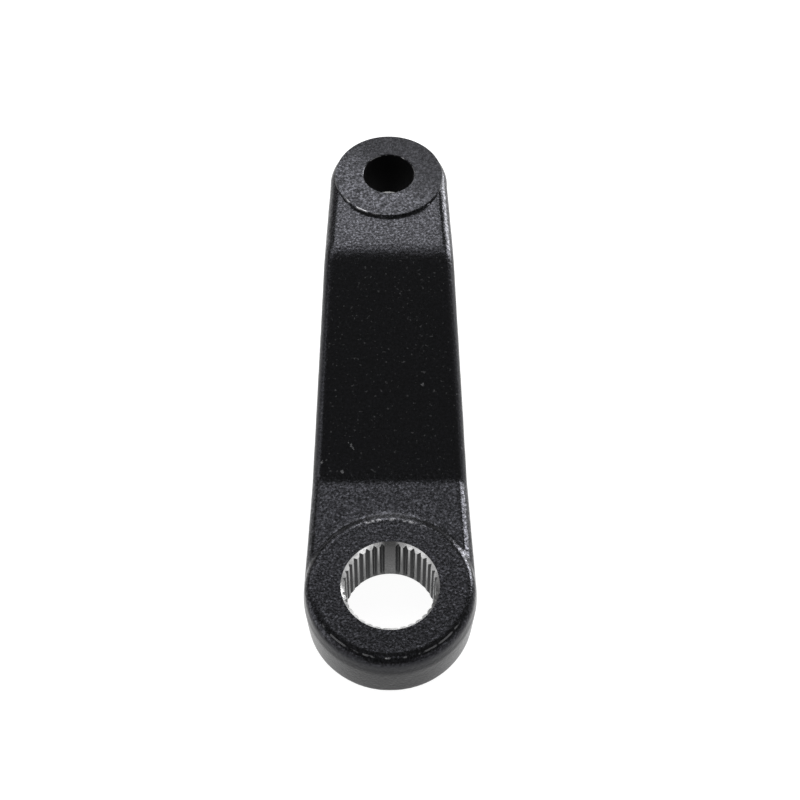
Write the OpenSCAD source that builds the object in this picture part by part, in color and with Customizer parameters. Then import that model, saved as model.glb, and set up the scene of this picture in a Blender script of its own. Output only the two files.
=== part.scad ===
// Pitman arm: one cranked steel forging with a serrated shaft hole and a tapered stud hole.
// The origin is the middle of the serrations, Z is their axis, and the stud hole lies towards +Y.

/* [Arm] */
// Distance between the axes of the two holes
centre_distance = 160.8; // [150:0.2:190]
// Height of the small end's plate over the big end's facing
offset_height = 27.5; // [15:0.5:32]
// Thickness of the shank and of the small end's plate
shank_t = 18; // [14:0.5:20]
// Distance from the shaft axis to the bend beside the big end
near_bend = 42; // [38:0.5:46]
// Distance from the stud axis to the bend beside the small end
far_bend = 37.8; // [33:0.2:40]
// Radius of the hollow bend on the top, beside the big end
near_bend_r = 10; // [6:0.5:16]
// Radius of the round bend on the top, beside the small end
far_bend_r = 22; // [20:0.5:28]

/* [Big end] */
// Diameter at the parting line
big_d = 59; // [54:0.5:66]
// Thickness over both facings
big_t = 23; // [20:0.5:28]
// Height of the facing over the shank
big_step = 1.2; // [0.4:0.1:2]
// Edge radius of the facing
big_edge_r = 4; // [2:0.1:5]

/* [Shaft hole] */
// Diameter at the bottom of the serrations
root_d = 32.4; // [28:0.05:34]
// Depth of a serration
groove_depth = 0.75; // [0.5:0.05:1.2]
// Radius at the bottom of a serration
groove_root_r = 0.3; // [0.2:0.05:0.5]
// Number of serration places round the hole
groove_places = 36; // [32:4:40]
// Number of places left blank, so that the arm fits one way
blank_places = 4; // [1, 2, 4]
// Share of a place that its groove takes at the tips
groove_share = 0.62; // [0.54:0.02:0.8]
// Width of the facing's chamfer outside the serrations
lead_in = 0.5; // [0.3:0.05:1.5]
// Width of the underside's chamfer outside the serrations
foot_lead_in = 0.25; // [0.1:0.05:1]
// Height of the underside's chamfer up to the tips of the serrations
foot_lead_h = 2.15; // [1:0.05:4]

/* [Small end] */
// Diameter at the parting line
small_d = 44.8; // [42:0.2:50]
// Distance of the raised facing's rim inside the parting line
boss_inset = 2; // [1.2:0.1:3]
// Height of the raised facing over the plate
boss_h = 1; // [0.6:0.1:3]
// Radius round the rim of the raised facing
boss_rim_r = 0.3; // [0.2:0.1:0.9]
// Width of the nut's facing round the hole
nut_face_w = 9; // [7:0.5:10]
// Height of the nut's facing below the plate
nut_face_h = 0.7; // [0.4:0.1:1.5]

/* [Stud hole] */
// Diameter of the tapered hole at the raised facing
stud_d = 19.4; // [16:0.1:22]
// Loss of diameter for each millimetre of depth
stud_taper = 0.125; // [0.08:0.005:0.16]
// Chamfer on both rims
stud_chamfer = 0.3; // [0.2:0.1:1]
// Distance of the hole beyond the middle of the small end
stud_shift = 0.8; // [0:0.1:1.2]

/* [Forging] */
// Depth of the parting line below the plate
parting_depth = 4.2; // [3.5:0.1:6]
// Draft of the walls above the parting line, in degrees
upper_draft = 7; // [3:0.5:9]
// Draft of the walls below the parting line, in degrees
lower_draft = 3.5; // [2:0.5:5]
// Edge radius of the shank and the small end, along the top
shank_edge_r = 4.6; // [1.5:0.1:5]
// Edge radius of the whole underside
foot_edge_r = 1.5; // [1:0.1:4]

/* [Hidden] */
$fn = 96;
big_r = big_d / 2;
small_r = small_d / 2;
root_r = root_d / 2;
tip_r = root_r - groove_depth;
// Depth of the middle of the serrations below the facing
hole_middle = (lead_in + groove_depth + big_t - foot_lead_h) / 2;
place_angle = 360 / groove_places;
blank_every = groove_places / blank_places;
small_y = centre_distance - stud_shift;
far_bend_y = centre_distance - far_bend;
crank_angle = atan((offset_height + big_step) / (far_bend_y - near_bend));
// The sides run from one end's circle to the other, a little inside both
side_angle = asin((big_r - small_r) / small_y);
side_inset = 0.1;
stud_top = offset_height + boss_h;
stud_bottom = offset_height - shank_t - nut_face_h;
stud_foot_r = stud_d / 2 - (stud_top - stud_bottom) * stud_taper / 2;
// Part of the wall over the parting line that an edge's arc may take
arc_share = 0.97;
// Arcs meet their neighbours at this angle instead of running out in a tangent
blend_angle = 4;
// Flats that make up an edge's arc and a bend's arc
edge_steps = 8;
bend_steps = 6;
// How far cutting shapes reach past a face, and into the shape beside them
margin = 3;
cut = 1;
lap = 0.2;

function unit(angle) = [cos(angle), sin(angle)];

// Edge radius, held to what the wall over the parting line leaves for it
function held_r(r, parting) = min(r, arc_share * parting / (1 - sin(upper_draft)));

// Piece between a corner and the arc that rounds it; its sides leave at angle a and at the smaller angle b
module corner_piece(corner, a, b, r) {
    half = (a - b) / 2;
    middle = unit((a + b) / 2);
    reach = r / tan(half);
    end_a = corner + unit(a) * reach + middle * lap;
    end_b = corner + unit(b) * reach + middle * lap;
    out = middle * margin;
    difference() {
        polygon([end_a, end_a - out, corner - out, end_b - out, end_b]);
        translate(corner + middle * r / sin(half)) circle(r = r / cos(blend_angle));
    }
}

// What lies outside a forged edge: x = 0 is the parting line and y = 0 is the top of a plate t thick
module edge_waste(t, parting, r) {
    top_x = -parting * tan(upper_draft);
    foot_x = -(t - parting) * tan(lower_draft);
    polygon([
        [0, -parting],
        [foot_x - margin * tan(lower_draft), -t - margin],
        [big_r, -t - margin],
        [big_r, margin],
        [top_x - margin * tan(upper_draft), margin]
    ]);
    corner_piece([top_x, 0], 270 + upper_draft, 180, held_r(r, parting));
    corner_piece([foot_x, -t], 180, 90 - lower_draft, foot_edge_r);
}

// Round end with forged edges, its top at z = 0
module round_end(radius, t, parting, r) {
    rotate_extrude()
        difference() {
            translate([0, -t]) square([radius, t]);
            translate([radius, 0]) edge_waste(t, parting, r);
        }
}

// Half of the shank's section, from the edge of its top down to the edge of its underside
function half_section() =
    let (r = held_r(shank_edge_r, parting_depth),
         foot = foot_edge_r - shank_t,
         top_x = (-r - (parting_depth - r) * sin(upper_draft)) / cos(upper_draft),
         foot_x = (-foot_edge_r + (parting_depth + foot) * sin(lower_draft)) / cos(lower_draft))
    concat(
        [for (i = [0 : edge_steps])
            let (a = 90 - i * (90 - upper_draft) / edge_steps)
            [top_x, -r] + r * unit(a)],
        [[0, -parting_depth]],
        [for (i = [0 : edge_steps])
            let (a = -lower_draft - i * (90 - lower_draft) / edge_steps)
            [foot_x, foot] + foot_edge_r * unit(a)]
    );

// Stations along the top of the shank: distance from the shaft axis, height and slope
function stations() =
    let (near_start = near_bend - near_bend_r * tan(crank_angle / 2),
         far_end = far_bend_y + far_bend_r * tan(crank_angle / 2))
    concat(
        [[0, -big_step, 0]],
        [for (i = [0 : bend_steps])
            let (a = crank_angle * i / bend_steps)
            [near_start + near_bend_r * sin(a), near_bend_r * (1 - cos(a)) - big_step, a]],
        [for (i = [bend_steps : -1 : 0])
            let (a = crank_angle * i / bend_steps)
            [far_end - far_bend_r * sin(a), offset_height - far_bend_r * (1 - cos(a)), a]],
        [[small_y, offset_height, 0]]
    );

// One ring of the loft; the parting line follows the straight sides in plan
function ring(station, half) =
    let (right = [for (p = half)
            let (y = station[0] - p[1] * sin(station[2]),
                 x = (big_r - side_inset - y * sin(side_angle) + p[0]) / cos(side_angle))
            [x, y, station[1] + p[1] * cos(station[2])]],
         last = len(half) - 1)
    concat(right, [for (i = [last : -1 : 0]) [-right[i][0], right[i][1], right[i][2]]]);

// Cranked shank, lofted from the middle of one end to the middle of the other
module shank() {
    half = half_section();
    rings = [for (s = stations()) ring(s, half)];
    n = len(rings[0]);
    m = len(rings);
    polyhedron(
        points = [for (one = rings) each one],
        faces = concat(
            [[for (i = [0 : n - 1]) i]],
            [[for (i = [n - 1 : -1 : 0]) (m - 1) * n + i]],
            [for (k = [0 : m - 2], i = [0 : n - 1])
                [k * n + i, (k + 1) * n + i, (k + 1) * n + (i + 1) % n]],
            [for (k = [0 : m - 2], i = [0 : n - 1])
                [k * n + i, (k + 1) * n + (i + 1) % n, k * n + (i + 1) % n]]
        ),
        convexity = 4
    );
}

// Raised facing round the stud hole, with a rounded rim
module stud_boss() {
    rim = small_r - boss_inset;
    foot = rim + boss_h * tan(upper_draft);
    rotate_extrude()
        difference() {
            polygon([[0, -margin], [foot, -margin], [foot, 0], [rim, boss_h], [0, boss_h]]);
            corner_piece([rim, boss_h], 270 + upper_draft, 180, boss_rim_r);
        }
}

// One serration: straight flanks that run onto a round bottom
module groove_outline() {
    tip_half_w = tip_r * sin(place_angle * groove_share / 2);
    run = groove_depth - groove_root_r;
    half = atan(tip_half_w / run) - asin(groove_root_r / norm([run, tip_half_w]));
    neck = run + groove_root_r * sin(half);
    neck_half_w = tip_half_w - neck * tan(half);
    mouth_half_w = tip_half_w + cut * tan(half);
    polygon([
        [tip_r - cut, -mouth_half_w],
        [tip_r + neck, -neck_half_w],
        [tip_r + neck, neck_half_w],
        [tip_r - cut, mouth_half_w]
    ]);
    translate([root_r - groove_root_r, 0]) circle(r = groove_root_r / cos(blend_angle));
}

module shaft_hole() {
    lead_r = root_r + lead_in;
    lead_depth = lead_in + groove_depth + cut;
    foot_r = root_r + foot_lead_in;
    foot_cut = cut * (foot_lead_in + groove_depth) / foot_lead_h;
    translate([0, 0, -big_t - cut])
        linear_extrude(height = big_t + 2 * cut) {
            circle(r = tip_r);
            for (i = [0 : groove_places - 1])
                if (i % blank_every != 0)
                    rotate(90 + i * place_angle) groove_outline();
        }
    translate([0, 0, -lead_depth])
        cylinder(h = lead_depth + cut, r1 = lead_r - lead_depth, r2 = lead_r + cut);
    translate([0, 0, -big_t - cut])
        cylinder(h = foot_lead_h + 2 * cut, r1 = foot_r + foot_cut, r2 = tip_r - foot_cut);
}

module stud_hole() {
    slope = stud_taper / 2;
    top_r = stud_d / 2;
    translate([0, 0, stud_bottom - cut])
        cylinder(
            h = stud_top - stud_bottom + 2 * cut,
            r1 = stud_foot_r - cut * slope,
            r2 = top_r + cut * slope
        );
    translate([0, 0, stud_top - stud_chamfer])
        cylinder(h = stud_chamfer + cut, r1 = top_r, r2 = top_r + stud_chamfer + cut);
    translate([0, 0, stud_bottom - cut])
        cylinder(h = stud_chamfer + cut, r1 = stud_foot_r + stud_chamfer + cut, r2 = stud_foot_r);
}

module pitman_arm() {
    color([0.08, 0.08, 0.09])
        translate([0, 0, hole_middle])
            difference() {
                union() {
                    round_end(big_r, big_t, parting_depth + big_step, big_edge_r);
                    shank();
                    translate([0, small_y, offset_height]) {
                        round_end(small_r, shank_t, parting_depth, shank_edge_r);
                        stud_boss();
                    }
                    translate([0, centre_distance, stud_bottom])
                        cylinder(h = nut_face_h + cut, r = stud_foot_r + nut_face_w);
                }
                shaft_hole();
                translate([0, centre_distance, 0]) stud_hole();
            }
}

pitman_arm();
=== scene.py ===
import math

import bmesh
import bpy
import numpy as np
from mathutils import Matrix, Vector, noise


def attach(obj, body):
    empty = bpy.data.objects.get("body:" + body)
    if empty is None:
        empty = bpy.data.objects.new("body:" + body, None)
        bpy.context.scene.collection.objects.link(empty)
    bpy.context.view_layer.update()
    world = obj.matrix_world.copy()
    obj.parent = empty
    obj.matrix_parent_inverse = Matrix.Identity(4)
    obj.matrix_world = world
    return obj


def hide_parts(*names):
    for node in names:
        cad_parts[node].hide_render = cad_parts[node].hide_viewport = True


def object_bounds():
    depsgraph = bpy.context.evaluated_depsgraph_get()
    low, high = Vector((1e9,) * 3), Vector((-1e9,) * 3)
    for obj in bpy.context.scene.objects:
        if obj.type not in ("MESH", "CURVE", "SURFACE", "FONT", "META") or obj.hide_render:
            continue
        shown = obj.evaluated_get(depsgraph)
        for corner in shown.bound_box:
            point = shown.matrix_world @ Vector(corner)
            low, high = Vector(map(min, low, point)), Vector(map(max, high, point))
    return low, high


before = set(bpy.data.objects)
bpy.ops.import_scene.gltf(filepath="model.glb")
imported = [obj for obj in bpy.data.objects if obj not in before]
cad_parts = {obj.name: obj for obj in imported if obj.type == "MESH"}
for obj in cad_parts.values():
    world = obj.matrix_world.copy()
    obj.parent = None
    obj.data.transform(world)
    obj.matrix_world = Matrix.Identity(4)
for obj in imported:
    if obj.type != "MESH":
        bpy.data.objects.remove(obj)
cad_lo, cad_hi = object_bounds()

MM = 0.001

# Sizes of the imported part, in millimetres and degrees. Heights count from the big end's facing.

CENTRE_DISTANCE = 160.8
OFFSET_HEIGHT = 27.5
SHANK_T = 18.0
NEAR_BEND = 42.0
FAR_BEND = 37.8
NEAR_BEND_R = 10.0
FAR_BEND_R = 22.0

BIG_R = 29.5
BIG_T = 23.0
BIG_STEP = 1.2
BIG_EDGE_R = 4.0

ROOT_R = 16.2
GROOVE_DEPTH = 0.75
GROOVE_ROOT_R = 0.3
GROOVE_PLACES = 36
BLANK_EVERY = 9
GROOVE_SHARE = 0.62
LEAD_IN = 0.5
FOOT_LEAD_IN = 0.25
FOOT_LEAD_H = 2.15

SMALL_R = 22.4
BOSS_INSET = 2.0
BOSS_H = 1.0
BOSS_RIM_R = 0.3
NUT_FACE_W = 9.0
NUT_FACE_H = 0.7

STUD_R = 9.7
STUD_TAPER = 0.125
STUD_CHAMFER = 0.3
STUD_SHIFT = 0.8

PARTING_DEPTH = 4.2
UPPER_DRAFT = 7.0
LOWER_DRAFT = 3.5
SHANK_EDGE_R = 4.6
FOOT_EDGE_R = 1.5
SIDE_INSET = 0.1

HOLE_MIDDLE = (LEAD_IN + GROOVE_DEPTH + BIG_T - FOOT_LEAD_H) / 2
SMALL_Y = CENTRE_DISTANCE - STUD_SHIFT
LEAD_R = ROOT_R + LEAD_IN
TIP_R = ROOT_R - GROOVE_DEPTH
BOSS_R = SMALL_R - BOSS_INSET
STUD_TOP = OFFSET_HEIGHT + BOSS_H
STUD_BOTTOM = OFFSET_HEIGHT - SHANK_T - NUT_FACE_H
STUD_FOOT_R = STUD_R - (STUD_TOP - STUD_BOTTOM) * STUD_TAPER / 2

# Details that only the scene has

# The big end's edge is sharper at its two sides, and its parting line lies lower
BIG_SIDE_EDGE = 1.1
BIG_PARTING = 7.0

# Hollow fillets at the feet of the raised facings: radius at the start, reach and height.
# They are whole up to one angle from the shank's direction, and gone at the other.
HUB_FILLET = (26.5, 3.3, 0.45)
BOSS_FILLET = (20.0, 1.9, 0.9)
FILLET_FULL = 40.0
FILLET_END = 62.0
FILLET_SINK = 0.4
FILLET_BASE = 2.0

# A low lip round the big facing
LIP_R = 25.3
LIP_W = 0.6
LIP_H = 0.09
LIP_FACING = 0.7

# Waviness of the forging: length and height
WAVES = ((11.0, 0.05), (4.0, 0.016))

# How fine the meshes are
TURN_STEPS = 192
END_STEPS = 288
EDGE_STEPS = 12
BEND_STEPS = 10
RIM_STEPS = 6
ROOT_STEPS = 8
BLANK_STEPS = 8
FILLET_STEPS = 144
FILLET_ROWS = 10
VOXEL = 0.6
SOFTEN_ROUNDS = 3
SOFTEN_SHARE = 0.5
MERGE = 0.01
SHARP_ANGLE = 32.0

# How far one solid reaches into or past another
LAP = 1.0
BOSS_SINK = 2.6

# Rings of points that keep the flat faces' shading flat
BOSS_RINGS = (0.0, 6.0, 12.0, 16.0)
BOSS_RIM_RINGS = (0.5, 0.1)
NUT_FACE_RING = 0.5


# The camera, from a fit of the photograph's ellipses and outline

CAMERA_PLACE = (-0.79, -240.27, 456.3)
CAMERA_YAW = 0.834
CAMERA_DOWN = 55.309
CAMERA_ROLL = 0.522
CAMERA_LENS = 68.507
SENSOR_W = 36.0
NEAR_CLIP = 0.02
FAR_CLIP = 100.0


def make_camera():
    yaw, down, roll = (math.radians(a) for a in (CAMERA_YAW, CAMERA_DOWN, CAMERA_ROLL))
    forward = Vector((math.sin(yaw) * math.cos(down), math.cos(yaw) * math.cos(down),
                      -math.sin(down)))
    level = Vector((math.cos(yaw), -math.sin(yaw), 0.0))
    upright = level.cross(forward)
    right = level * math.cos(roll) + upright * math.sin(roll)
    up = upright * math.cos(roll) - level * math.sin(roll)
    data = bpy.data.cameras.new("camera")
    data.lens = CAMERA_LENS
    data.sensor_width = SENSOR_W
    data.clip_start = NEAR_CLIP
    data.clip_end = FAR_CLIP
    camera = bpy.data.objects.new("camera", data)
    bpy.context.scene.collection.objects.link(camera)
    turn = Matrix((right, up, -forward)).transposed().to_4x4()
    place = Vector(CAMERA_PLACE) + Vector((0, 0, HOLE_MIDDLE))
    camera.matrix_world = Matrix.Translation(place * MM) @ turn
    bpy.context.scene.camera = camera


# Shapes in millimetres, with the big end's facing at height 0

def new_mesh(name, points, faces):
    """A mesh in the part's frame, with its faces turned outwards."""
    mesh = bpy.data.meshes.new(name)
    mesh.from_pydata([(x * MM, y * MM, (z + HOLE_MIDDLE) * MM) for x, y, z in points], [], faces)
    form = bmesh.new()
    form.from_mesh(mesh)
    bmesh.ops.recalc_face_normals(form, faces=form.faces)
    form.to_mesh(mesh)
    form.free()
    return mesh


def bands(rows, steps):
    """The faces between closed rows of points."""
    faces = []
    for k in range(rows - 1):
        for i in range(steps):
            j = (i + 1) % steps
            faces.append((k * steps + i, (k + 1) * steps + i, (k + 1) * steps + j, k * steps + j))
    return faces


def fan(row, steps, middle):
    """The faces from one row to a point in its middle."""
    return [(middle, row * steps + i, row * steps + (i + 1) % steps) for i in range(steps)]


def revolved(name, shape, y=0.0, z=0.0, steps=TURN_STEPS):
    """A solid turned about an upright axis, from its profile, or the one at each angle.

    A profile runs from the top to the underside.
    """
    columns = []
    for i in range(steps):
        a = 2 * math.pi * i / steps
        profile = shape(a) if callable(shape) else shape
        columns.append([(r * math.cos(a), y + r * math.sin(a), z + height)
                        for r, height in profile if r > 0])
    count = len(columns[0])
    points = [column[k] for k in range(count) for column in columns]
    faces = bands(count, steps)
    for height, k in ((profile[0][1], 0), (profile[-1][1], count - 1)):
        faces += fan(k, steps, len(points))
        points.append((0.0, y, z + height))
    return new_mesh(name, points, faces)


def arc(x, y, r, start, end, steps):
    angles = [math.radians(start + (end - start) * i / steps) for i in range(steps + 1)]
    return [(x + r * math.cos(a), y + r * math.sin(a)) for a in angles]


def half_section(t, parting, edge_r):
    """A forged edge from the top of a plate to its underside; x = 0 is the parting line."""
    upper, lower = math.radians(UPPER_DRAFT), math.radians(LOWER_DRAFT)
    foot = FOOT_EDGE_R - t
    top_x = (-edge_r - (parting - edge_r) * math.sin(upper)) / math.cos(upper)
    foot_x = (-FOOT_EDGE_R + (parting + foot) * math.sin(lower)) / math.cos(lower)
    return (arc(top_x, -edge_r, edge_r, 90, UPPER_DRAFT, EDGE_STEPS) + [(0.0, -parting)]
            + arc(foot_x, foot, FOOT_EDGE_R, -LOWER_DRAFT, -90, EDGE_STEPS))


def round_end(name, radius, t, parting, edge_r, y, z):
    """A round end; edge_r gives the edge's radius at an angle."""
    def profile(a):
        edge = [(radius + x, height) for x, height in half_section(t, parting, edge_r(a))]
        return [(0.0, 0.0)] + edge + [(0.0, -t)]
    return revolved(name, profile, y, z, END_STEPS)


def big_edge_r(a):
    return BIG_EDGE_R - BIG_SIDE_EDGE * math.cos(a) ** 4


def small_edge_r(a):
    return SHANK_EDGE_R


def stations():
    """Places along the top of the shank: distance from the shaft axis, height and slope."""
    far_y = CENTRE_DISTANCE - FAR_BEND
    crank = math.atan((OFFSET_HEIGHT + BIG_STEP) / (far_y - NEAR_BEND))
    near_start = NEAR_BEND - NEAR_BEND_R * math.tan(crank / 2)
    far_end = far_y + FAR_BEND_R * math.tan(crank / 2)
    slopes = [crank * i / BEND_STEPS for i in range(BEND_STEPS + 1)]
    near = [(near_start + NEAR_BEND_R * math.sin(a), NEAR_BEND_R * (1 - math.cos(a)) - BIG_STEP, a)
            for a in slopes]
    far = [(far_end - FAR_BEND_R * math.sin(a), OFFSET_HEIGHT - FAR_BEND_R * (1 - math.cos(a)), a)
           for a in reversed(slopes)]
    return [(0.0, -BIG_STEP, 0.0)] + near + far + [(SMALL_Y, OFFSET_HEIGHT, 0.0)]


def shank():
    half = half_section(SHANK_T, PARTING_DEPTH, SHANK_EDGE_R)
    side = math.asin((BIG_R - SMALL_R) / SMALL_Y)
    points = []
    for along, height, slope in stations():
        right = []
        for out, down in half:
            y = along - down * math.sin(slope)
            x = (BIG_R - SIDE_INSET - y * math.sin(side) + out) / math.cos(side)
            right.append((x, y, height + down * math.cos(slope)))
        points += right + [(-x, y, z) for x, y, z in reversed(right)]
    n = 2 * len(half)
    count = len(points) // n
    faces = [tuple(range(n)), tuple(range((count - 1) * n, count * n))]
    for a, b, c, d in bands(count, n):
        faces += [(a, b, c), (a, c, d)]
    return new_mesh("shank", points, faces)


def stud_boss():
    draft = math.radians(UPPER_DRAFT)
    foot = BOSS_R + BOSS_H * math.tan(draft)
    rim_x = BOSS_R - BOSS_RIM_R * math.tan(math.radians(45 - UPPER_DRAFT / 2))
    flat = [(r, BOSS_H) for r in BOSS_RINGS]
    flat += [(rim_x - r, BOSS_H) for r in BOSS_RIM_RINGS]
    edge = arc(rim_x, BOSS_H - BOSS_RIM_R, BOSS_RIM_R, 90, UPPER_DRAFT, RIM_STEPS)
    wall = [(foot, 0.0), (foot, -BOSS_SINK), (0.0, -BOSS_SINK)]
    return revolved("stud_boss", flat + edge + wall, SMALL_Y, OFFSET_HEIGHT)


def fillet(name, start_r, reach, height, toward, y=0.0, z=0.0):
    """A disc with a hollow fillet round it, which fades into the solid away from one side."""
    points = []
    for k in range(FILLET_ROWS + 2):
        share = min(k / FILLET_ROWS, 1.0)
        drop = FILLET_BASE if k > FILLET_ROWS else 0.0
        for i in range(FILLET_STEPS):
            a = 2 * math.pi * i / FILLET_STEPS
            aside = abs((math.degrees(a) - toward + 180) % 360 - 180)
            fade = min(max((FILLET_END - aside) / (FILLET_END - FILLET_FULL), 0.0), 1.0)
            fade = fade * fade * (3 - 2 * fade)
            r = start_r + reach * share * fade
            level = height * (1 - share) ** 2 * fade - FILLET_SINK * (1 - fade) - drop
            points.append((r * math.cos(a), y + r * math.sin(a), z + level))
    faces = bands(FILLET_ROWS + 2, FILLET_STEPS)
    for k, level in ((0, -FILLET_SINK), (FILLET_ROWS + 1, -FILLET_SINK - FILLET_BASE)):
        faces += fan(k, FILLET_STEPS, len(points))
        points.append((0.0, y, z + level))
    return new_mesh(name, points, faces)


def nut_facing():
    r = STUD_FOOT_R + NUT_FACE_W
    top, foot = LAP - SHANK_T, -SHANK_T - NUT_FACE_H
    profile = [(0.0, top), (r, top), (r, foot), (r - NUT_FACE_RING, foot), (0.0, foot)]
    return revolved("nut_facing", profile, CENTRE_DISTANCE, OFFSET_HEIGHT)


def stud_cutter():
    top, bottom = STUD_TOP + LAP, STUD_BOTTOM - LAP
    profile = [(0.0, top), (STUD_R + STUD_CHAMFER + LAP, top),
               (STUD_R, STUD_TOP - STUD_CHAMFER), (STUD_FOOT_R, STUD_BOTTOM + STUD_CHAMFER),
               (STUD_FOOT_R + STUD_CHAMFER + LAP, bottom), (0.0, bottom)]
    return revolved("stud_cutter", profile, CENTRE_DISTANCE)


def groove_points():
    """One groove's outline as (radius, angle) from its right edge to its left one."""
    tip_half_w = TIP_R * math.sin(math.radians(180 / GROOVE_PLACES * GROOVE_SHARE))
    run = GROOVE_DEPTH - GROOVE_ROOT_R
    half = math.atan2(tip_half_w, run) - math.asin(GROOVE_ROOT_R / math.hypot(run, tip_half_w))
    tip_x = math.sqrt(TIP_R ** 2 - tip_half_w ** 2)
    turn = 90 - math.degrees(half)
    root = arc(ROOT_R - GROOVE_ROOT_R, 0.0, GROOVE_ROOT_R, -turn, turn, ROOT_STEPS)
    points = [(tip_x, -tip_half_w)] + root + [(tip_x, tip_half_w)]
    return [(math.hypot(x, y), math.atan2(y, x)) for x, y in points]


def hole_outline():
    """The serrated hole's outline, anticlockwise, as (radius, angle)."""
    groove = groove_points()
    place = 2 * math.pi / GROOVE_PLACES
    land = groove[-1][1]
    outline = []
    for i in range(GROOVE_PLACES):
        middle = math.pi / 2 + i * place
        if i % BLANK_EVERY:
            outline += [(r, middle + a) for r, a in groove]
        else:
            outline += [(TIP_R, middle + land * (2 * k / BLANK_STEPS - 1))
                        for k in range(BLANK_STEPS + 1)]
        outline.append((TIP_R, middle + place / 2))
    return outline


def serrated_cutter():
    """The solid that cuts the serrated hole and its two chamfers."""
    outline = hole_outline()
    foot_r = ROOT_R + FOOT_LEAD_IN
    rise = FOOT_LEAD_H / (FOOT_LEAD_IN + GROOVE_DEPTH)
    rows = [[(LEAD_R + LAP, a, LAP) for r, a in outline],
            [(r, a, r - LEAD_R) for r, a in outline],
            [(r, a, (foot_r - r) * rise - BIG_T) for r, a in outline],
            [(foot_r + LAP / rise, a, -BIG_T - LAP) for r, a in outline]]
    n = len(outline)
    points = [(r * math.cos(a), r * math.sin(a), z) for row in rows for r, a, z in row]
    last = (len(rows) - 1) * n
    faces = [tuple(range(n)), tuple(range(last, last + n))] + bands(len(rows), n)
    return new_mesh("serrated_cutter", points, faces)


# The mesh of the arm

def modified(mesh, kind, **settings):
    """The mesh with one modifier applied."""
    piece = bpy.data.objects.new("work", mesh)
    bpy.context.scene.collection.objects.link(piece)
    modifier = piece.modifiers.new("work", kind)
    for name, value in settings.items():
        setattr(modifier, name, value)
    bpy.context.view_layer.update()
    graph = bpy.context.evaluated_depsgraph_get()
    made = bpy.data.meshes.new_from_object(piece.evaluated_get(graph))
    bpy.data.objects.remove(piece)
    return made


def combined(mesh, operation, other):
    tool = bpy.data.objects.new("tool", other)
    bpy.context.scene.collection.objects.link(tool)
    made = modified(mesh, "BOOLEAN", operation=operation, object=tool, solver="MANIFOLD")
    bpy.data.objects.remove(tool)
    return made


def clean(mesh):
    """Merges points that coincide, so that the cuts leave no slivers."""
    form = bmesh.new()
    form.from_mesh(mesh)
    bmesh.ops.remove_doubles(form, verts=form.verts, dist=MERGE * MM)
    bmesh.ops.dissolve_degenerate(form, edges=form.edges, dist=MERGE * MM / 2)
    form.to_mesh(mesh)
    form.free()


def vertex_values(mesh, name):
    flat = np.zeros(len(mesh.vertices) * 3, np.float32)
    mesh.vertices.foreach_get(name, flat)
    return flat.reshape(-1, 3).astype(float)


def put(mesh, points):
    mesh.vertices.foreach_set("co", points.astype(np.float32).ravel())
    mesh.update()


def soften(mesh):
    """Evens out the mesh, as die wear and a coat of paint do on small edges."""
    ends = np.zeros(len(mesh.edges) * 2, np.int32)
    mesh.edges.foreach_get("vertices", ends)
    a, b = ends.reshape(-1, 2).T
    points = vertex_values(mesh, "co")
    count = np.bincount(np.concatenate([a, b]), minlength=len(points))[:, None]
    for _ in range(SOFTEN_ROUNDS):
        total = np.zeros_like(points)
        np.add.at(total, a, points[b])
        np.add.at(total, b, points[a])
        points += SOFTEN_SHARE * (total / count - points)
    put(mesh, points)


def forge(mesh):
    """Gives the faces the slight waviness of a forging, and the big facing its raised lip."""
    points, out = vertex_values(mesh, "co"), vertex_values(mesh, "normal")
    lift = np.zeros(len(points))
    for length, height in WAVES:
        scale = 1 / (length * MM)
        lift += np.array([noise.noise(Vector(p) * scale) for p in points]) * height * MM
    from_lip = (np.hypot(points[:, 0], points[:, 1]) / MM - LIP_R) / LIP_W
    lift += np.where(out[:, 2] > LIP_FACING, LIP_H * MM * np.exp(-from_lip ** 2), 0.0)
    put(mesh, points + out * lift[:, None])


def forged_body():
    big = round_end("big_end", BIG_R, BIG_T, BIG_PARTING, big_edge_r, 0.0, 0.0)
    small = round_end("small_end", SMALL_R, SHANK_T, PARTING_DEPTH, small_edge_r,
                      SMALL_Y, OFFSET_HEIGHT)
    foot = fillet("hub_fillet", *HUB_FILLET, 90.0, z=-BIG_STEP)
    body = shank()
    for solid in (big, small, foot):
        body = combined(body, "UNION", solid)
    body = modified(body, "REMESH", mode="VOXEL", voxel_size=VOXEL * MM)
    soften(body)
    forge(body)
    return body


PAINT, CHAMFER, BLANK, LAND, GROOVE, BORE = range(6)

# A wall's normal leans less than this, a face belongs to the hole this far inside its rim,
# and to a groove this far outside the lands
WALL_LEAN = 0.3
RIM_GAP = 0.005
LAND_GAP = 0.04


def face_material(face):
    """Which material a face has: the paint, or one of those inside the two holes."""
    x, y, z = face.center / MM
    r = math.hypot(x, y)
    if r < LEAD_R - RIM_GAP:
        if abs(face.normal.z) > WALL_LEAN:
            return CHAMFER if z > 0 else GROOVE
        if r > TIP_R + LAND_GAP:
            return GROOVE
        from_blank = (math.degrees(math.atan2(y, x)) + 45) % 90 - 45
        return BLANK if abs(from_blank) < 360 / GROOVE_PLACES else LAND
    if math.hypot(x, y - CENTRE_DISTANCE) < STUD_R and abs(face.normal.z) < WALL_LEAN:
        return BORE
    return PAINT


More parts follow.
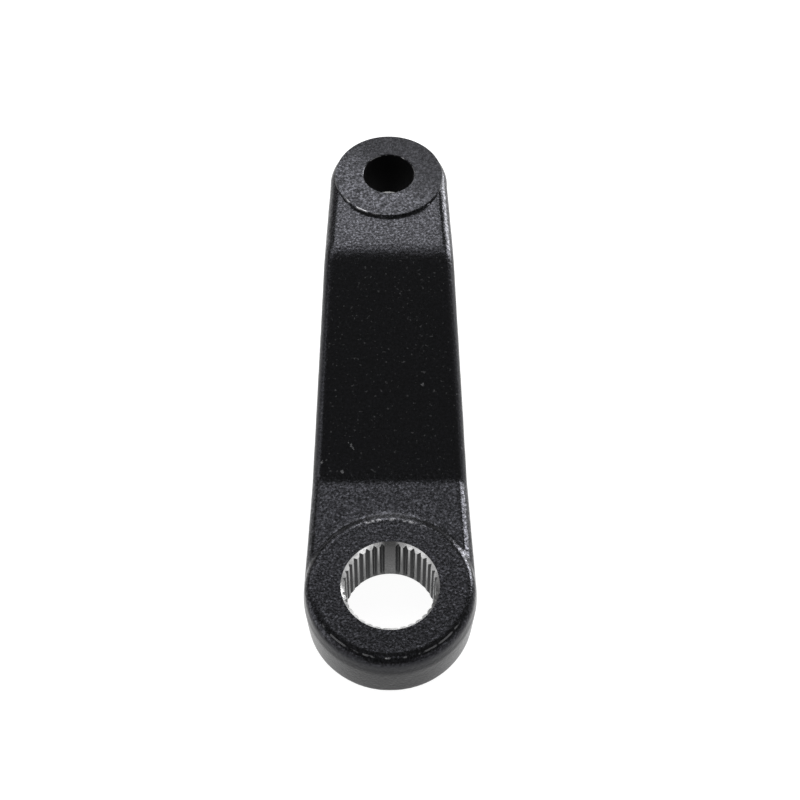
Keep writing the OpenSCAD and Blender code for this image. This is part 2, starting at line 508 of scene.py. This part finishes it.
def make_arm(materials):
    mesh = forged_body()
    foot = fillet("boss_fillet", *BOSS_FILLET, 270.0, SMALL_Y, OFFSET_HEIGHT)
    for raised in (stud_boss(), foot, nut_facing()):
        mesh = combined(mesh, "UNION", raised)
    for cutter in (serrated_cutter(), stud_cutter()):
        mesh = combined(mesh, "DIFFERENCE", cutter)
    clean(mesh)
    mesh.name = "arm"
    arm = bpy.data.objects.new("arm", mesh)
    bpy.context.scene.collection.objects.link(arm)
    mesh.materials.clear()
    for material in materials:
        mesh.materials.append(material)
    for face in mesh.polygons:
        face.material_index = face_material(face)
    mesh.shade_smooth()
    mesh.set_sharp_from_angle(angle=math.radians(SHARP_ANGLE))
    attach(arm, "root")
    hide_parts("pitman_arm")


# Materials. Distances are in millimetres, and heights count from the part's origin.

LEVEL = (1, 1, 0)
ACROSS = (1, 0, 0)
TOWARDS_STUD = (0, 1, 0)
UP = (0, 0, 1)


class Graph:
    """A new material's nodes, with short ways to add and link them."""

    def __init__(self, name):
        self.material = bpy.data.materials.new(name)
        self.material.use_nodes = True
        self.nodes = self.material.node_tree.nodes
        self.links = self.material.node_tree.links
        self.nodes.clear()
        self.surface = self.nodes.new("ShaderNodeOutputMaterial").inputs["Surface"]
        self.place = self.nodes.new("ShaderNodeTexCoord").outputs["Object"]

    def principled(self, colour, roughness, metallic, specular):
        """The shader's sockets, set to what is the same all over."""
        shader = self.nodes.new("ShaderNodeBsdfPrincipled")
        self.links.new(shader.outputs[0], self.surface)
        shader.inputs["Base Color"].default_value = (*colour, 1)
        shader.inputs["Roughness"].default_value = roughness
        shader.inputs["Metallic"].default_value = metallic
        shader.inputs["Specular IOR Level"].default_value = specular
        return shader.inputs

    def noise(self, scale, detail=2.0, roughness=0.5):
        texture = self.nodes.new("ShaderNodeTexNoise")
        texture.inputs["Scale"].default_value = scale
        texture.inputs["Detail"].default_value = detail
        texture.inputs["Roughness"].default_value = roughness
        self.links.new(self.place, texture.inputs["Vector"])
        return texture.outputs["Fac"]

    def ranged(self, source, low, high, to_low, to_high):
        node = self.nodes.new("ShaderNodeMapRange")
        for name, value in (("From Min", low), ("From Max", high),
                            ("To Min", to_low), ("To Max", to_high)):
            node.inputs[name].default_value = value
        self.links.new(source, node.inputs["Value"])
        return node.outputs["Result"]

    def rise(self, source, start, end):
        return self.ranged(source, start, end, 0.0, 1.0)

    def fade(self, source, start, end):
        return self.ranged(source, start, end, 1.0, 0.0)

    def maths(self, operation, *sources):
        node = self.nodes.new("ShaderNodeMath")
        node.operation = operation
        for socket, source in zip(node.inputs, sources):
            if isinstance(source, (int, float)):
                socket.default_value = source
            else:
                self.links.new(source, socket)
        return node.outputs[0]

    def times(self, first, *others):
        for other in others:
            first = self.maths("MULTIPLY", first, other)
        return first

    def most(self, first, *others):
        for other in others:
            first = self.maths("MAXIMUM", first, other)
        return first

    def off(self, source, value):
        """How far a value lies to either side of another."""
        return self.maths("ABSOLUTE", self.maths("SUBTRACT", source, value))

    def vector_maths(self, operation, first, second=None):
        node = self.nodes.new("ShaderNodeVectorMath")
        node.operation = operation
        self.links.new(first, node.inputs[0])
        if second is not None:
            node.inputs[1].default_value = second
        return node.outputs

    def away_from(self, point, axes=(1, 1, 1)):
        """Distance from a point, along some axes only."""
        offset = self.vector_maths("SUBTRACT", self.place, [v * MM for v in point])[0]
        kept = self.vector_maths("MULTIPLY", offset, [v / MM for v in axes])[0]
        return self.vector_maths("LENGTH", kept)["Value"]

    def along(self, direction, point=(0, 0, 0)):
        """How far a place lies beyond a point in a direction."""
        length = self.vector_maths("DOT_PRODUCT", self.place, [v / MM for v in direction])["Value"]
        return self.maths("SUBTRACT", length, sum(a * b for a, b in zip(direction, point)))


# Small chips in the paint: place, with its height from the facing, and radius
CHIPS = [((-24.1, 48.1, 0.9), 0.7), ((-16.7, 45.0, -0.1), 0.6), ((11.8, 75.0, 10.5), 0.6),
         ((22.7, 111.1, 23.3), 0.8)]
CHIP_NOISE = (1100.0, 1.0)
CHIP_RAGGED = (0.3, 0.7, -0.3, 0.4)
CHIP_CORE = 0.7

# The scratch is a row of smaller chips
SCRATCH = (Vector((-14.6, 54.9, 3.3)), Vector((-12.5, 52.9, 2.6)))
SCRATCH_R = 0.35
SCRATCH_STEPS = 6

PATCH_NOISE = (300.0,)

# Wear on the near left of the raised ring's rim
RING_WEAR_PLACE = (-11.5, 142.8, 39.4)
RING_WEAR_R = BOSS_R - 0.2
RING_WEAR_BAND = (0.1, 0.35)
RING_WEAR_REACH = (4.0, 9.0)
RING_WEAR_PATCHES = (0.38, 0.56)

# Wear on the stud hole's rim
STUD_WEAR_BAND = (STUD_R + 0.1, STUD_R + 0.3)
STUD_WEAR_HEIGHT = (38.5, 39.0)
STUD_WEAR_PATCHES = (0.53, 0.63)

# Dashes and two longer streaks on the front of the big end's edge
CREST_R = 26.8
CREST_BAND = (0.08, 0.3)
CREST_FRONT = (-18.0, -13.0)
CREST_HEIGHT = (8.0, 8.5)
CREST_PATCHES = (0.5, 0.58)
STREAKS = ((-17.2, -20.6, 0.0), (18.3, -19.6, 0.0))
STREAK_WEAR = (2.2, 3.4, 0.9, 0.0)

# Sparkle on the far part of the big facing's lip, and flecks on the middle of the shank
FLECK_NOISE = (850.0, 1.0)
LIP_BAND = (0.3, 0.7)
LIP_BACK = (21.5, 23.5)
LIP_WEAR = (0.48, 0.62, 0.0, 0.5)
FLECK_WEAR = (0.67, 0.78, 0.0, 0.16)
FLECK_REACH = (38.0, 41.0)
CRANK_MIDDLE = (0.0, (NEAR_BEND + CENTRE_DISTANCE - FAR_BEND) / 2, 0.0)


def chips(graph):
    ragged = graph.ranged(graph.noise(*CHIP_NOISE), *CHIP_RAGGED)
    start, end = SCRATCH
    scratch = [(start.lerp(end, k / SCRATCH_STEPS), SCRATCH_R) for k in range(SCRATCH_STEPS + 1)]
    masks = []
    for (x, y, z), r in CHIPS + scratch:
        apart = graph.maths("ADD", graph.away_from((x, y, z + HOLE_MIDDLE)), ragged)
        masks.append(graph.fade(apart, CHIP_CORE * r, r))
    return masks


def worn_places(graph, height):
    """Where the paint is off: chips, flecks, the crest and lip of the big end, and two rims."""
    patches = graph.noise(*PATCH_NOISE)
    flecks = graph.noise(*FLECK_NOISE)
    from_axis = graph.away_from((0, 0, 0), LEVEL)
    back = graph.along(TOWARDS_STUD)

    from_ring = graph.off(graph.away_from((0, SMALL_Y, 0), LEVEL), RING_WEAR_R)
    ring = graph.times(graph.fade(from_ring, *RING_WEAR_BAND),
                       graph.fade(graph.away_from(RING_WEAR_PLACE), *RING_WEAR_REACH),
                       graph.rise(patches, *RING_WEAR_PATCHES))

    from_stud = graph.away_from((0, CENTRE_DISTANCE, 0), LEVEL)
    stud = graph.times(graph.fade(from_stud, *STUD_WEAR_BAND),
                       graph.rise(height, *STUD_WEAR_HEIGHT),
                       graph.rise(patches, *STUD_WEAR_PATCHES))

    streaks = [graph.ranged(graph.away_from(place, LEVEL), *STREAK_WEAR) for place in STREAKS]
    crest = graph.times(graph.fade(graph.off(from_axis, CREST_R), *CREST_BAND),
                        graph.fade(back, *CREST_FRONT),
                        graph.rise(height, *CREST_HEIGHT),
                        graph.most(graph.rise(patches, *CREST_PATCHES), *streaks))

    lip = graph.times(graph.fade(graph.off(from_axis, LIP_R), *LIP_BAND),
                      graph.rise(back, *LIP_BACK),
                      graph.ranged(flecks, *LIP_WEAR))

    from_middle = graph.away_from(CRANK_MIDDLE, TOWARDS_STUD)
    middle = graph.times(graph.ranged(flecks, *FLECK_WEAR), graph.fade(from_middle, *FLECK_REACH))
    return graph.most(*chips(graph), ring, stud, crest, lip, middle)


PAINT_COLOUR = (0.006, 0.006, 0.006)
PAINT_ROUGHNESS = 0.22
WORN_COLOUR = (0.36, 0.36, 0.37)
GLOSS = 0.295
GLOSS_TINT = (0.86, 0.87, 1.0, 1)
GLOSS_SPREAD = 26.0
SPECKLE_NOISE = (1250.0, 2.0, 0.6)
SPECKLE = (0.25, 0.75, -0.5, 0.5)
GRAIN_NOISE = (1000.0, 2.0, 0.55)
GRAIN_DEPTH = 0.0001

# The big end's front wall is smoother and duller below its crest, and the shank's middle smoother
FRONT_END = (-14.0, -2.0)
FRONT_SMOOTH = (8.0, 10.5, 0.2, 1.0)
FRONT_DULL = (3.4, 8.4, 0.36, 1.0)
MIDDLE_SMOOTH = (36.0, 42.0, 0.35, 1.0)

# The raised ring has less gloss at its far right
THIN_SIDE = (0.55, 0.83, 0.0)
THIN = (-6.0, 8.0, 0.0, 0.45)
THIN_HEIGHT = (38.8, 39.3)


def paint_gloss(graph, height):
    behind = graph.rise(graph.along(TOWARDS_STUD), *FRONT_END)
    smooth = graph.most(behind, graph.ranged(height, *FRONT_SMOOTH))
    dull = graph.most(behind, graph.ranged(height, *FRONT_DULL))
    from_middle = graph.away_from(CRANK_MIDDLE, TOWARDS_STUD)
    thin = graph.times(graph.ranged(graph.along(THIN_SIDE, (0, SMALL_Y, 0)), *THIN),
                       graph.rise(height, *THIN_HEIGHT))
    thin = graph.maths("SUBTRACT", 1.0, thin)
    speckle = graph.times(graph.ranged(graph.noise(*SPECKLE_NOISE), *SPECKLE), smooth,
                          graph.ranged(from_middle, *MIDDLE_SMOOTH), thin)
    spread = graph.maths("POWER", GLOSS_SPREAD, speckle)
    return graph.times(spread, GLOSS, dull, thin)


def black_paint():
    """Paint on a blasted forging: speckled gloss, fine grain and worn places."""
    graph = Graph("black_paint")
    shader = graph.principled(PAINT_COLOUR, PAINT_ROUGHNESS, 0.0, GLOSS)
    shader["Specular Tint"].default_value = GLOSS_TINT
    height = graph.along(UP)
    worn = worn_places(graph, height)
    graph.links.new(paint_gloss(graph, height), shader["Specular IOR Level"])

    colour = graph.nodes.new("ShaderNodeMix")
    colour.data_type = "RGBA"
    graph.links.new(worn, colour.inputs["Factor"])
    for socket in colour.inputs:
        if socket.type == "RGBA":
            socket.default_value = (*(PAINT_COLOUR if socket.name == "A" else WORN_COLOUR), 1)
    mixed = [socket for socket in colour.outputs if socket.type == "RGBA"][0]
    graph.links.new(mixed, shader["Base Color"])
    graph.links.new(worn, shader["Metallic"])

    bump = graph.nodes.new("ShaderNodeBump")
    bump.inputs["Strength"].default_value = 1.0
    bump.inputs["Distance"].default_value = GRAIN_DEPTH
    graph.links.new(graph.noise(*GRAIN_NOISE), bump.inputs["Height"])
    graph.links.new(bump.outputs["Normal"], shader["Normal"])
    return graph.material


MARK_NOISE = (1400.0,)
MARKS = (0.3, 0.7)
MARK_ROUGHNESS = 0.06


def machined(name, colour, roughness, metallic=1.0, specular=0.5):
    """A machined surface with fine tool marks."""
    graph = Graph(name)
    shader = graph.principled(colour, roughness, metallic, specular)
    marks = graph.ranged(graph.noise(*MARK_NOISE), *MARKS,
                         roughness - MARK_ROUGHNESS, roughness + MARK_ROUGHNESS)
    graph.links.new(marks, shader["Roughness"])
    return graph, shader


CHAMFER_COLOUR = (0.8, 0.8, 0.8)
CHAMFER_ROUGHNESS = 0.3
CHAMFER_NOISE = (160.0,)
CHAMFER_PATCHES = (0.38, 0.58, 0.55, 1.0)
# Painted shade: less metal and a darker colour in front, and a darker colour at the far middle and
# at both sides
CHAMFER_METAL = (-9.0, -4.0, 0.15, 1.0)
CHAMFER_FRONT = (-9.0, -4.0, 0.8, 1.0)
CHAMFER_FAR = (1.8, 3.2, 0.3, 1.0)
CHAMFER_NEAR = (-5.0, 0.0)
CHAMFER_RIGHT = (8.0, 14.0, 0.95, 0.4)
CHAMFER_LEFT = (-15.5, -12.5, 0.55, 1.0)


def bright_steel():
    """The chamfer at the top of the serrated hole: patchy, with painted shade that makes it darker
    and less metallic in front and darker at three sides.
    """
    graph, shader = machined("bright_steel", CHAMFER_COLOUR, CHAMFER_ROUGHNESS)
    back, aside = graph.along(TOWARDS_STUD), graph.along(ACROSS)
    graph.links.new(graph.ranged(back, *CHAMFER_METAL), shader["Metallic"])
    far = graph.ranged(graph.maths("ABSOLUTE", aside), *CHAMFER_FAR)
    colour = graph.times(graph.ranged(graph.noise(*CHAMFER_NOISE), *CHAMFER_PATCHES),
                         graph.most(far, graph.fade(back, *CHAMFER_NEAR)),
                         graph.ranged(aside, *CHAMFER_RIGHT),
                         graph.ranged(aside, *CHAMFER_LEFT),
                         graph.ranged(back, *CHAMFER_FRONT))
    graph.links.new(colour, shader["Base Color"])
    return graph.material


# The lands' colour is painted light and shade: lighter towards the top of the hole and along each
# land's middle, darker lower down
LAND_COLOUR = (0.3, 0.3, 0.3)
LAND_ROUGHNESS = 0.25
LAND_HEIGHT = (-2.0, 10.0, 0.035, 0.45)
LAND_EDGE = (0.06, 0.16, 1.0, 0.12)


def land_steel_painted_light():
    """The narrow lands, with painted light and shade: bright along their middles and more so
    towards the top, dark deeper in the hole.
    """
    graph, shader = machined("land_steel_painted_light", LAND_COLOUR, LAND_ROUGHNESS)
    turn = graph.maths("ARCTAN2", graph.along(TOWARDS_STUD), graph.along(ACROSS))
    place = graph.maths("FRACT", graph.times(turn, GROOVE_PLACES / (2 * math.pi)))
    colour = graph.times(graph.ranged(graph.along(UP), *LAND_HEIGHT),
                         graph.ranged(graph.off(place, 0.5), *LAND_EDGE))
    graph.links.new(colour, shader["Base Color"])
    return graph.material


# The serrated hole's steel is made dark, darkest in the grooves and the lower chamfer: painted
# shade inside the hole
BLANK_STEEL_PAINTED_SHADE = ((0.049, 0.048, 0.049), 0.3)
GROOVE_STEEL_PAINTED_SHADE = ((0.016, 0.016, 0.017), 0.35)
# The stud hole's wall is near black and almost without gloss: painted shade inside the hole
STUD_BORE_PAINTED_SHADE = ((0.0025, 0.0025, 0.0028), 0.7, 0.0, 0.05)


def arm_materials():
    blank, groove, bore = (machined(name, *settings)[0].material for name, settings in (
        ("broached_steel", BLANK_STEEL_PAINTED_SHADE), ("groove_steel_painted_shade", GROOVE_STEEL_PAINTED_SHADE), ("stud_bore_painted_shade", STUD_BORE_PAINTED_SHADE)))
    return black_paint(), bright_steel(), blank, land_steel_painted_light(), groove, bore


# The studio

FLOOR_GLOW = 0.95
FLOOR_COLOUR = (0.3, 0.3, 0.3, 1)

# A painted shade under the raised part of the arm, where the floor's glow is lowered: where it lies
# along the arm, and its fade
PAINTED_SHADE_MIDDLE = (0.0, 123.0, 0.0)
PAINTED_SHADE_HALF_LENGTH = 80.0
PAINTED_SHADE_FADE = (5.0, 25.0)
PAINTED_SHADE_GLOW = 0.03


def pale_floor():
    """White for the camera and in reflections, with the object's shadow kept and a painted shade
    under the raised part of the arm.
    """
    graph = Graph("pale_floor")
    matt = graph.nodes.new("ShaderNodeBsdfDiffuse")
    matt.inputs["Color"].default_value = FLOOR_COLOUR
    path = graph.nodes.new("ShaderNodeLightPath").outputs
    seen = graph.most(path["Is Camera Ray"], path["Is Glossy Ray"], path["Is Transmission Ray"])
    # Painted shade: the glow drops under the raised part of the arm and fades out to its sides and
    # beyond its ends
    beyond = graph.maths("SUBTRACT", graph.away_from(PAINTED_SHADE_MIDDLE, TOWARDS_STUD), PAINTED_SHADE_HALF_LENGTH)
    beyond = graph.most(beyond, 0.0)
    aside = graph.along(ACROSS)
    apart = graph.maths("ADD", graph.times(beyond, beyond), graph.times(aside, aside))
    light = graph.ranged(graph.maths("SQRT", apart), *PAINTED_SHADE_FADE, PAINTED_SHADE_GLOW, FLOOR_GLOW)
    light.node.interpolation_type = "SMOOTHSTEP"
    glow = graph.nodes.new("ShaderNodeEmission")
    graph.links.new(graph.times(seen, light), glow.inputs["Strength"])
    both = graph.nodes.new("ShaderNodeAddShader")
    graph.links.new(matt.outputs[0], both.inputs[0])
    graph.links.new(glow.outputs[0], both.inputs[1])
    graph.links.new(both.outputs[0], graph.surface)
    return graph.material


# The floor and the low wall round it, in metres, with a gap in millimetres under the part
ROOM_R = 6.0
WALL_H = 1.0
ROOM_STEPS = 96
FLOOR_GAP = 0.2


def make_room():
    turns = [2 * math.pi * i / ROOM_STEPS for i in range(ROOM_STEPS)]
    ring = [(ROOM_R * math.cos(a), ROOM_R * math.sin(a)) for a in turns]
    low = cad_lo.z - FLOOR_GAP * MM
    points = [(x, y, low) for x, y in ring] + [(x, y, low + WALL_H) for x, y in ring]
    faces = [tuple(range(ROOM_STEPS))]
    for i in range(ROOM_STEPS):
        j = (i + 1) % ROOM_STEPS
        faces.append((i, j, ROOM_STEPS + j, ROOM_STEPS + i))
    mesh = bpy.data.meshes.new("floor")
    mesh.from_pydata(points, [], faces)
    mesh.materials.append(pale_floor())
    room = bpy.data.objects.new("floor", mesh)
    bpy.context.scene.collection.objects.link(room)


# Each lamp: its place and what it faces, in millimetres, its width and height, and its radiance
LAMPS = {
    "small_end_softbox": ((-54, 400, 338), (0, 138, 38), 320, 100, 4.65),
    "high_softbox": ((0, 640, 1030), (0, 20, 10), 1100, 250, 1.85),
    "back_panel": ((0, 1550, 850), (0, 80, 10), 600, 430, 3.8),
    "back_left_panel": ((-785, 675, 845), (0, 60, 10), 400, 680, 1.4),
    "right_softbox": ((802, 627, 340), (26, 45, 10), 210, 680, 11.0),
    "far_right_softbox": ((732, 835, 260), (19, 135, 38), 260, 520, 11.5),
    "left_panel": ((-1400, -200, 530), (0, 80, 20), 1200, 1000, 1.8),
    "right_panel": ((1450, -200, 430), (0, 80, 20), 1200, 700, 0.6),
    "front_left_panel": ((-920, -920, 580), (0, 0, 0), 700, 400, 1.2),
    "front_right_panel": ((920, -920, 580), (0, 0, 0), 700, 400, 1.2),
    "camera_lamp": ((0, -342, 940), (0, 0, 0), 200, 80, 3.0),
}
WORLD_LIGHT = 0.17


def area_light(name, place, target, width, height, radiance):
    """A softbox; radiance 1 is white."""
    data = bpy.data.lights.new(name, "AREA")
    data.shape = "RECTANGLE"
    data.size = width * MM
    data.size_y = height * MM
    data.energy = radiance * math.pi * data.size * data.size_y
    lamp = bpy.data.objects.new(name, data)
    bpy.context.scene.collection.objects.link(lamp)
    away = Vector(place) - Vector(target)
    turn = away.to_track_quat("Z", "Y").to_matrix().to_4x4()
    lamp.matrix_world = Matrix.Translation(Vector(place) * MM) @ turn
    lamp.visible_camera = False


def make_lights():
    for name, settings in LAMPS.items():
        area_light(name, *settings)
    world = bpy.data.worlds.new("world")
    world.use_nodes = True
    sky = world.node_tree.nodes["Background"]
    sky.inputs["Color"].default_value = (WORLD_LIGHT, WORLD_LIGHT, WORLD_LIGHT, 1)
    sky.inputs["Strength"].default_value = 1.0
    bpy.context.scene.world = world


make_camera()
make_arm(arm_materials())
make_room()
make_lights()
bpy.context.scene.view_settings.view_transform = "Standard"
